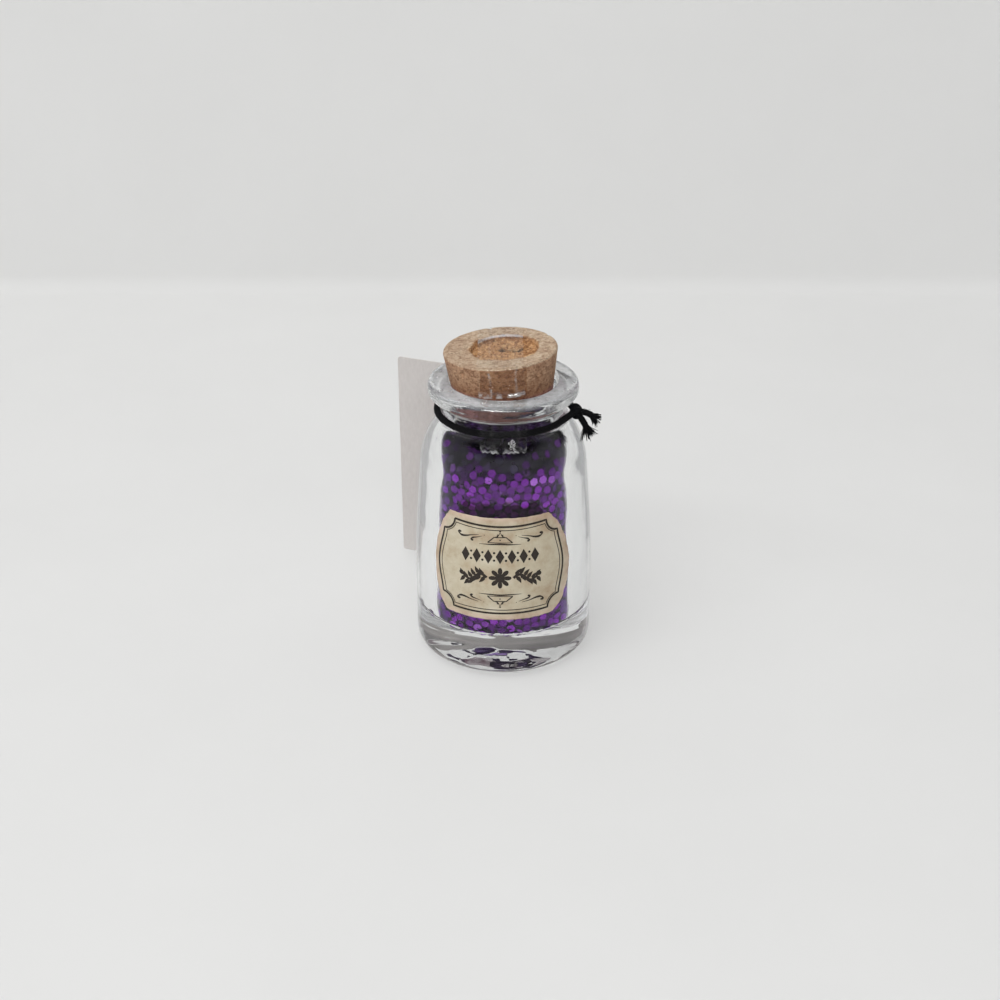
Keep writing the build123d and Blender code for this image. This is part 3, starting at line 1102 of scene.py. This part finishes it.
class Ink:
    """Printed strokes on the label."""

    def __init__(self):
        self.shape = Shape()

    def stroke(self, points, widths):
        """A flat stroke along points, its width given at even steps along it."""
        points = finer([Vector(p) for p in points], ink_step)
        count = len(points)
        tops, backs = [], []
        for i, p in enumerate(points):
            along = i / (count - 1) * (len(widths) - 1)
            k = min(int(along), len(widths) - 2)
            width = ink_weight * (widths[k] + (widths[k + 1] - widths[k]) * (along - k))
            side = left_of(heading(points, i))
            pair = [p - side * width / 2, p + side * width / 2]
            tops.append([on_glass(q.x, q.y, ink_top) for q in pair])
            backs.append([on_glass(q.x, q.y, ink_bottom) for q in pair])
        self.shape.shell(tops, backs)

    def curve(self, points, widths, steps=8):
        self.stroke(smooth_line(points, steps), widths)

    def blob(self, centre, reach, sides, outline=lambda a: 1.0):
        """A filled closed figure, its reach changed by outline(angle)."""
        centre = Vector(centre)
        turns = [tau * i / sides for i in range(sides)]
        edge = [Vector((cos(a), sin(a))) * reach * outline(a) for a in turns]
        steps = max(1, ceil(reach / ink_step))
        faces = []
        for lift in (ink_top, ink_bottom):
            rings = []
            for k in range(steps, 0, -1):
                points = [centre + e * k / steps for e in edge]
                rings.append(self.shape.ring([on_glass(p.x, p.y, lift) for p in points]))
            faces.append(rings)
        self.shape.join(faces[1][0], faces[0][0])
        for rings, lift, flip in zip(faces, (ink_top, ink_bottom), (False, True)):
            for a, b in pairs(rings):
                self.shape.join(*((b, a) if flip else (a, b)))
            self.shape.fan(rings[-1], on_glass(centre.x, centre.y, lift), flip=flip)

    def lozenge(self, centre, half_width, half_height):
        def outline(a):
            return 1 / (abs(cos(a)) / half_width + abs(sin(a)) / half_height)

        self.blob(centre, 1.0, 32, outline)

    def leaf(self, root, direction, length, width):
        """A pointed leaf from its root."""
        direction = Vector(direction).normalized()
        tip = root + direction * length
        middle = (root + tip) / 2 + left_of(direction) * length * 0.08
        self.curve([root, middle, tip], [0.05, width, width * 0.7, 0.04], 6)


def on_label(s, rise, up=1, side=1):
    """A place so far from the label's middle, mirrored where up or side is -1."""
    return label_axis + side * s, label_middle + up * rise


def notch(corner, reach, start, end):
    """A concave corner of the border, an arc about the paper's own corner."""
    steps = 7
    out = []
    for i in range(steps + 1):
        a = radians(start + (end - start) * i / steps)
        out.append(Vector(corner) + Vector((cos(a), sin(a))) * reach)
    return out


def border(inset):
    """The border's closed line, moved in from its outer edge."""
    left, right, low, high = border_left, border_right, border_low, border_high
    reach = border_notch + inset * 0.55
    swing = degrees(asin(inset / reach))
    wide = right - left - 2 * reach
    tall = high - low - 2 * reach
    # Each stretch as (share of its length, how far it bows from 0 to 1)
    shares = [(i / 16, sin(pi * i / 16)) for i in range(1, 16)]
    out = [(t, border_bulge * bow ** 1.5 - inset) for t, bow in shares]
    line = notch((left, high), reach, -swing, swing - 90)
    line += [Vector((left - bulge, high - reach - tall * t)) for t, bulge in out]
    line += notch((left, low), reach, 90 - swing, swing)
    line += [Vector((left + reach + wide * t, low + inset - 0.25 * bow)) for t, bow in shares]
    line += notch((right, low), reach, 180 - swing, 90 + swing)
    line += [Vector((right + bulge, low + reach + tall * t)) for t, bulge in out]
    line += notch((right, high), reach, -90 - swing, swing - 180)
    line += [Vector((right - reach - wide * t, high - inset - 0.55 * bow)) for t, bow in shares]
    return line + [line[0].copy()]


# The ornament over the rows as places from the label's middle. Each stroke: places and widths.
pediment_arch = (
    [(-4.5, 5.75), (-2, 5.8), (0, 5.9), (2, 5.8), (4.5, 5.75)],
    [0.05, 0.2, 0.26, 0.2, 0.05],
)
pediment_base = ([(-2.7, 6.2), (2.7, 6.2)], [0.1, 0.1])
pediment_gable = ([(-2.6, 6.25), (-1.3, 7.4), (1.3, 7.4), (2.6, 6.25)], [0.2, 0.14, 0.14, 0.2])
finial_sides = [
    ([(side * 1.2, 7.4), (side * 0.5, 7.7), (0, 8.5)], [0.08, 0.2, 0.05]) for side in (-1, 1)
]
# Each dot as (aside, up, reach, sides)
pediment_dots = [
    (0, 8.75, 0.2, 12),
    (-0.55, 7.95, 0.15, 10),
    (0.55, 7.95, 0.15, 10),
    (0, 6.8, 0.16, 10),
]
scroll = (
    [(9.0, 7.95), (9.25, 7.65), (9.0, 7.25), (8.4, 7.0), (7.4, 7.1), (6.2, 7.45), (4.6, 7.75)],
    [0.2, 0.3, 0.2, 0.34, 0.26, 0.14, 0.05],
)
scroll_drop = (
    [(3.9, 7.5), (5.0, 7.15), (5.9, 6.9), (6.3, 6.5), (6.1, 6.2)],
    [0.05, 0.12, 0.26, 0.22, 0.12],
)


def make_ornament(ink, up):
    """The ornament over the rows, or mirrored under them."""

    def draw(method, stroke, side=1):
        places, widths = stroke
        method([on_label(s, rise, up, side) for s, rise in places], widths)

    draw(ink.curve, pediment_arch)
    draw(ink.stroke, pediment_base)
    draw(ink.stroke, pediment_gable)
    for stroke in finial_sides:
        draw(ink.curve, stroke)
    for s, rise, reach, sides in pediment_dots:
        ink.blob(on_label(s, rise, up), reach, sides)
    for side in (1, -1):
        draw(ink.curve, scroll, side)
        ink.blob(on_label(8.85, 7.75, up, side), 0.24, 12)
        draw(ink.curve, scroll_drop, side)
        ink.blob(on_label(6.0, 6.35, up, side), 0.22, 12)
        ink.blob(on_label(3.4, 7.75, up, side), 0.1, 8)


def make_ink():
    ink = Ink()
    ink.stroke(border(0.0), [0.31, 0.31])
    ink.stroke(border(0.8), [0.13, 0.13])
    for up in (1, -1):
        make_ornament(ink, up)

    # Upper row: lozenges with dots between them
    row, spacing = 3.0, 2.5
    for k in range(-3, 4):
        ink.lozenge(on_label(k * spacing, row), 0.92, 1.65)
    for k in range(-3, 3):
        for rise in (-0.85, 0.85):
            ink.blob(on_label((k + 0.5) * spacing, row + rise), 0.27, 12)

    # Lower row: a rosette with a leafy stem on each side
    row = -1.9
    ink.blob(on_label(0, row), 2.4, 96, lambda a: 0.38 + 0.62 * abs(cos(4 * a)) ** 0.7)
    for side in (1, -1):
        stem = []
        for i in range(25):
            t = i / 24
            wave = 0.75 * sin(tau * 1.1 * t)
            stem.append(Vector(on_label(2.8 + 5.6 * t, row + wave, side=side)))
        ink.stroke(stem, [0.42, 0.4, 0.34, 0.28])
        for t in (0.1, 0.26, 0.42, 0.58, 0.74, 0.9):
            for lift in (1, -1):
                ink.leaf(stem[int(t * 24)], (side * 0.7, lift), 2.1 - 0.4 * t, 0.62)
        ink.blob(stem[-1], 0.5, 16)
    stops = [(0.3, (0.010, 0.006, 0.004)), (0.7, (0.03, 0.018, 0.011))]
    material = mottled_material("label_ink", 3.0, stops, Roughness=0.6)
    ink.shape.make("label_print", material, "bottle", "label_paper", smooth=False)


# Cord


def ring_point(azimuth):
    return polar(ring_radius, azimuth, neck_bottom)


def leaves_ring(point, turn):
    """The azimuth where a straight cord to a point leaves the ring."""
    reach = hypot(point.x, point.y)
    return atan2(point.y, point.x) + turn * acos(ring_radius / reach)


def ring_arc(start, end):
    """Control points of the ring between two azimuths."""
    step = radians(12)
    swell = 1 / cos(step / 2)
    count = max(2, round(abs(end - start) / step))
    points = [ring_point(start + (end - start) * (i + 0.5) / count) for i in range(count)]
    return [Vector((p.x * swell, p.y * swell, p.z)) for p in points]


def ring_bend(leaves, point):
    """The control point that turns the cord off the ring towards a point."""
    flat = Vector((point.x, point.y, neck_bottom))
    return ring_point(leaves) + (flat - ring_point(leaves)) * 0.35


def spline_path(name, points):
    """Points along a smooth NURBS line with the route's points as its control points."""
    curve = bpy.data.curves.new(name, "CURVE")
    curve.dimensions = "3D"
    spline = curve.splines.new("NURBS")
    spline.points.add(len(points) - 1)
    for target, p in zip(spline.points, points):
        target.co = (*(Vector(p) * MM), 1)
    spline.order_u = 3
    spline.use_endpoint_u = True
    spline.resolution_u = 12
    holder = add_object(name, curve)
    bpy.context.view_layer.update()
    mesh = bpy.data.meshes.new_from_object(holder)
    path = [v.co / MM for v in mesh.vertices]
    bpy.data.objects.remove(holder)
    bpy.data.curves.remove(curve)
    bpy.data.meshes.remove(mesh)
    return path


def length_of(path):
    return sum((b - a).length for a, b in pairs(path))


def even(path, step):
    """The path with points at even steps."""
    total = length_of(path)
    count = max(2, round(total / step))
    out = [path[0]]
    i, walked = 0, 0.0
    for k in range(1, count):
        goal = total * k / count
        while walked + (path[i + 1] - path[i]).length < goal:
            walked += (path[i + 1] - path[i]).length
            i += 1
        t = (goal - walked) / (path[i + 1] - path[i]).length
        out.append(path[i].lerp(path[i + 1], t))
    out.append(path[-1])
    return out


def plies(shape, path, radius):
    """A laid cord: strands wound round a path."""
    path = even(path, 0.28)
    frames = list(frames_along(path))
    offset = radius * 0.36
    for strand in range(ply_count):
        line = []
        walked = 0.0
        for i, (p, u, v) in enumerate(frames):
            if i:
                walked += (p - path[i - 1]).length
            a = tau * (strand / ply_count + walked / ply_pitch)
            line.append(p + (u * cos(a) + v * sin(a)) * offset)
        shape.tube(line, radius - offset + 0.03, 8)


def hairs(shape, rng, path, count, length):
    """Short loose fibres on a cord."""
    for _ in range(count):
        i = rng.randrange(1, len(path) - 1)
        ahead = heading(path, i)
        out = across(rng, ahead)
        root = path[i] + out * (cord_radius * 0.9)
        drift = ahead * rng.uniform(-1, 1)
        size = rng.uniform(0.4, 1.0) * length
        tip = root + (out * 0.6 + drift).normalized() * size
        middle = root.lerp(tip, 0.5) + Vector([rng.uniform(-0.1, 0.1) for _ in range(3)])
        shape.tube([root, middle, tip], [0.022, 0.018, 0.006], 3)


def frayed(shape, rng, start, direction, length):
    """A brush of loose fibres at a cord's end."""
    direction = direction.normalized()
    for _ in range(fray_count):
        out = across(rng, direction)
        share = sqrt(rng.random())
        root = start + out * share * 0.5
        size = length * rng.uniform(0.6, 1.1)
        points = [root]
        for step in (0.35, 0.7, 1.0):
            wander = Vector([rng.uniform(-0.16, 0.16) for _ in range(3)])
            lean = direction * step + out * fray_spread * share * step ** 1.4
            p = root + lean * size + wander * step
            points.append(Vector((min(p.x, tail_reach), p.y, p.z)))
        shape.tube(smooth_line(points, 3), [0.085] * 7 + [0.07, 0.055, 0.03], 5)


def cord_route(knot):
    """Round the neck from the knot, through the tag's hole and back to the knot."""
    right = Vector((cos(tag_yaw), -sin(tag_yaw), 0))
    behind = Vector((sin(tag_yaw), cos(tag_yaw), 0))
    strand = [tag_hole + right * x + behind * y + Vector((0, 0, z)) for x, y, z in tag_strand]
    left_leaves = leaves_ring(strand[0], 1)
    right_leaves = leaves_ring(strand[-1], -1)
    front_leaves = leaves_ring(knot, -1)
    back_leaves = leaves_ring(knot, 1)
    return [
        knot,
        ring_point(front_leaves),
        *ring_arc(front_leaves, left_leaves - tau),
        ring_point(left_leaves),
        ring_bend(left_leaves, strand[0]),
        *strand,
        ring_bend(right_leaves, strand[-1]),
        ring_point(right_leaves),
        *ring_arc(right_leaves, back_leaves),
        ring_point(back_leaves),
        knot,
    ]


def overhand(knot):
    """The line of a tight overhand turn, a trefoil about the knot's middle."""
    ahead = Vector((0.93, -0.25, -0.25)).normalized()
    side = ahead.cross(Vector((0, 0, 1))).normalized()
    over = side.cross(ahead)
    turns = []
    for i in range(73):
        t = tau * i / 72
        x = sin(t) + 2 * sin(2 * t)
        y = cos(t) - 2 * cos(2 * t)
        z = -sin(3 * t)
        turns.append(knot + (side * x + over * y) * knot_size + ahead * z * knot_depth)
    return turns


def make_cord():
    rng = random.Random(23)
    knot = polar(knot_reach, knot_azimuth, neck_bottom)
    path = spline_path("cord_route", cord_route(knot))
    shape = Shape()
    plies(shape, path, cord_radius)
    hairs(shape, rng, even(path, 0.3), 260, 0.5)
    shape.tube(overhand(knot), knot_thickness, 10)
    for steps, share in tails:
        tail = [knot, *(knot + Vector(step) for step in steps)]
        line = even(spline_path("tail_route", tail), 0.25)
        cut = int(len(line) * share)
        plies(shape, line[: cut + 1], cord_radius * 0.92)
        hairs(shape, rng, line[:cut], 40, 0.6)
        frayed(shape, rng, line[cut - 1], line[-1] - line[cut], length_of(line[cut:]))
    stops = [(0.3, (0.0015, 0.0015, 0.002)), (0.75, (0.008, 0.008, 0.009))]
    shader = {"Roughness": 0.7, "Specular_IOR_Level": 0.08}
    material = mottled_material("black_cord", 5.0, stops, **shader)
    shape.make("cord", material, "bottle", "black_cord", ["neck_cord"])


# Tape. A film's rows are of cells, each (place, normal, crease_painted_highlight, shine), and the
# place is on the film's back side. The third says how white a fold is drawn, a painted highlight.


def tape_columns():
    return [-tape_width / 2 + tape_width * i / tape_cells for i in range(tape_cells + 1)]


def crease_share(x, along):
    """How much a place on the tape is on one of its two long creases, from 0 to 1."""
    share = 0.0
    for middle, size in creases:
        wander = middle + 0.6 * noise.noise(Vector((middle, along * 0.35, 0)))
        broken = max(0.0, 0.5 + 1.1 * noise.noise(Vector((middle * 3, along * 1.1, 4))))
        share = max(share, size * broken * max(0.0, 1 - abs(x - wander) / 0.3))
    return share


def wrinkle(x, along):
    """How far the tape stands off where it is wrinkled."""
    waves = noise.fractal(Vector((x * 0.35, along * 0.35, 9)), 0.8, 2.0, 4)
    return 0.12 * crease_share(x, along) + 0.05 * (1 + waves)


def patchy(x, along):
    """A broken share from 0 to 1, for places where the tape catches the light."""
    return share_of(0.4 + 3.2 * noise.noise(Vector((x * 0.8, along * 1.9, 21))))


def make_film(name, material, body, node, rows):
    inner = [[cell[0] for cell in row] for row in rows]
    outer = [[p + normal * tape_thickness for p, normal, _, _ in row] for row in rows]
    shape = Shape()
    shape.shell(outer, inner)
    weights = {
        "crease_painted_highlight": [cell[2] for row in rows for cell in row] * 2,
        "shine": [cell[3] for row in rows for cell in row] * 2,
    }
    shape.make(name, material, body, "clear_tape", [node], weights)


def tape_over_cork(x, t):
    """A cell on the cork's top, where the tape sags into the recess."""
    reach = sqrt((cork_top_radius - 0.25) ** 2 - x * x)
    y = -reach + 2 * reach * t
    inset = hypot(x - recess_shift, y)
    dip = share_of((recess_radius - 0.1 - inset) / 0.7)
    sag = tape_sag * dip * dip * (3 - 2 * dip)
    lift = tape_gap + min(wrinkle(x, y + 30) * 0.4, 0.05)
    place = Vector((x, y, cork_rise + lift - sag))
    shine = 4 * dip * (1 - dip) * (1 if y > 0 else 0.15)
    return place, Vector((0, 0, 1)), 0.15 * crease_share(x, y + 30), shine


def tape_beside_cork(x, t, sign):
    """A cell on the cork's side, where the tape flares at its foot."""
    z = tape_low + (cork_rise - 0.25 - tape_low) * t
    flare = max(0.0, 1 - (z - tape_low) / 1.3) ** 2 * tape_flare
    r = cork_radius + z * cork_slope + tape_gap + wrinkle(x, z) * 0.25 + flare
    y = sign * sqrt(r * r - x * x)
    shine = min(1.0, flare * 2.5) * patchy(x, z)
    return Vector((x, y, z)), Vector((x, y, 0)).normalized(), crease_share(x, z), shine


def make_tape_top(material):
    columns = tape_columns()
    rows = [[tape_beside_cork(x, k / 14, -1) for x in columns] for k in range(15)]
    rows += [[tape_over_cork(x, k / 120) for x in columns] for k in range(1, 120)]
    rows += [[tape_beside_cork(x, 1 - k / 14, 1) for x in columns] for k in range(15)]
    still = Vector((0, 0, 0))
    rows = [[(on_cork(p), on_cork(n, still), *marks) for p, n, *marks in row] for row in rows]
    make_film("tape_top", material, "cork", "seal_tape_top", rows)


def make_tape_skirt(name, material, node, profile, sign):
    """Tape that follows a section round the bottle, down to its serrated end."""
    at_front = sign < 0
    last = len(profile) - 1
    rows = []
    for k, p in enumerate(profile):
        ahead = heading(profile, k)
        out = left_of(ahead)
        share = k / last
        lift = max(0.0, (end_lift_height - p.y) / (end_lift_height - profile[-1].y))
        on_lip = max(0.0, 1 - abs(p.y - bottle_height) / 1.2)
        row = []
        for i, x in enumerate(tape_columns()):
            q = p
            if share > 0.6:
                phase = (i / tape_cells * tooth_count) % 1
                cut = abs(2 * phase - 1) * tooth_depth * (share - 0.6) / 0.4
                q = p - ahead * cut
            r = q.x + wrinkle(x, p.y) * 0.35 * (1 if at_front else 0.3)
            r += 0.25 * lift ** 1.5 * (0.7 + 0.5 * noise.noise(Vector((x * 0.8, 3, 8))))
            y = sign * sqrt(max(r * r - x * x, 0.01))
            normal = Vector((x, y, 0)).normalized() * out.x + Vector((0, 0, out.y))
            crease_painted_highlight = 0.15 * crease_share(x, p.y) if at_front else 0.0
            shine = max(lift, 0.4 * on_lip) * patchy(x, p.y)
            row.append((Vector((x, y, q.y)), normal, crease_painted_highlight, shine))
        rows.append(row)
    make_film(name, material, "bottle", node, rows)


def make_tapes():
    material = tape_material()
    make_tape_top(material)
    shoulder_slope = atan2(shoulder_radius - neck_radius, neck_bottom - shoulder_height)
    cord_outside = ring_radius + cord_radius + 0.12
    fold = bottle_height + tape_gap
    end_radius = neck_radius + (neck_bottom - tape_end_height) * tan(shoulder_slope) + 0.14
    front = [
        (tape_start_radius, fold),
        (tape_fold_radius, fold),
        (cord_outside, neck_bottom + 0.9),
        (cord_outside, neck_bottom - 0.9),
        (end_radius, tape_end_height),
    ]
    front = finer(rounded(front, [1.37, 0.9, 0.9], 8), 0.25)
    make_tape_skirt("tape_front", material, "seal_tape_front", front, -1)
    back = [p for p in reversed(glass_skin) if p.y >= tape_end_height]
    back = [Vector((tape_start_radius, bottle_height)), *back]
    back = [p + left_of(heading(back, k)) * tape_gap for k, p in enumerate(back)]
    make_tape_skirt("tape_back", material, "seal_tape_back", finer(back, 0.3), 1)


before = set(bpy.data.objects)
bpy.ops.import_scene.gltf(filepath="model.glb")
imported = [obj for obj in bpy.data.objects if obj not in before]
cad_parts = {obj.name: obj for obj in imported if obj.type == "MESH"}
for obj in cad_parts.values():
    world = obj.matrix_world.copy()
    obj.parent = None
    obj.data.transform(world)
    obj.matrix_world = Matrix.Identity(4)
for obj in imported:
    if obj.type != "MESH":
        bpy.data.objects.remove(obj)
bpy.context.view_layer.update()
bpy.context.scene.view_settings.view_transform = "Standard"
make_camera()
make_world()
make_stage()
make_lamp("front_softbox", (1.0, 0.09), (-0.2, -0.47, 0.58), (0, 0, 0.05), 3.0, True)
make_lamp("ceiling", (1.3, 1.0), (-0.5, -0.25, 1.4), (0, 0, 0), 7.6, False)

make_cord()
make_glass()
make_glitter()
make_cork()
make_label()
make_ink()
make_tapes()
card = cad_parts["hang_tag"]
card.data.materials.clear()
card.data.materials.append(card_material())
